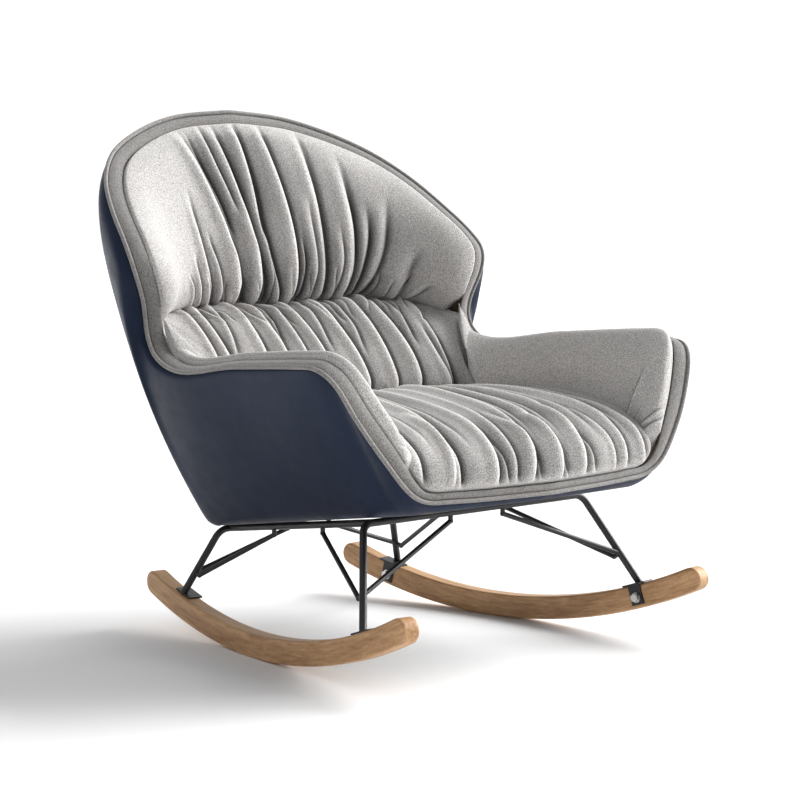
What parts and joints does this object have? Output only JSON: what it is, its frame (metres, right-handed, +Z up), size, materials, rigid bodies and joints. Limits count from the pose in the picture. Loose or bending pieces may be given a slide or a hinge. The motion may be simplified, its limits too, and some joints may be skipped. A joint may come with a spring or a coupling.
{
  "type": "rocking chair",
  "caption": "Upholstered bucket rocking chair with a winged back and sloping arms, carried by a bent steel rod base on two curved wooden runners.",
  "frame": {"origin": "on the floor, below the middle of the chair's bounding box", "axes": "+X to the sitter's left, -Y the way the chair faces, +Z up"},
  "size_m": [0.8116, 0.8657, 0.8899],
  "materials": {
    "plywood": "raw moulded plywood",
    "leatherette": "smooth satin leatherette, navy",
    "dust_cloth": "thin black non-woven cloth",
    "piping": "light corded piping",
    "band_fabric": "woven upholstery cloth, mid grey",
    "cushion_fabric": "soft brushed upholstery cloth, warm light grey",
    "black_steel": "satin black powder coat",
    "ash_wood": "oiled light hardwood",
    "zinc_steel": "bright zinc"
  },
  "bodies": {
    "root": {"seat_board": "plywood", "back_shell": "plywood", "arm_shell_left": "plywood", "arm_shell_right": "plywood", "front_rail": "plywood", "outer_cover": "leatherette", "dust_cover": "dust_cloth", "edge_piping": "piping", "border_band": "band_fabric", "back_cushion": "cushion_fabric", "lumbar_cushion": "cushion_fabric", "seat_cushion": "cushion_fabric", "arm_pad_left": "cushion_fabric", "arm_pad_right": "cushion_fabric", "front_leg_hoop": "black_steel", "rear_leg_hoop": "black_steel", "side_rail_left": "black_steel", "side_rail_right": "black_steel", "front_side_brace_left": "black_steel", "front_side_brace_right": "black_steel", "front_cross_brace_left": "black_steel", "front_cross_brace_right": "black_steel", "rear_side_brace_left": "black_steel", "rear_side_brace_right": "black_steel", "rear_cross_brace_left": "black_steel", "rear_cross_brace_right": "black_steel", "front_board_plate_left": "black_steel", "front_board_plate_right": "black_steel", "rear_board_plate_left": "black_steel", "rear_board_plate_right": "black_steel", "front_foot_bracket_left": "black_steel", "front_foot_bracket_right": "black_steel", "rear_foot_bracket_left": "black_steel", "rear_foot_bracket_right": "black_steel", "runner_left": "ash_wood", "runner_right": "ash_wood", "runner_bolts": "zinc_steel", "runner_washers": "zinc_steel", "runner_inserts": "zinc_steel", "board_bolts": "zinc_steel", "tee_nuts": "zinc_steel"}
  },
  "joints": []
}
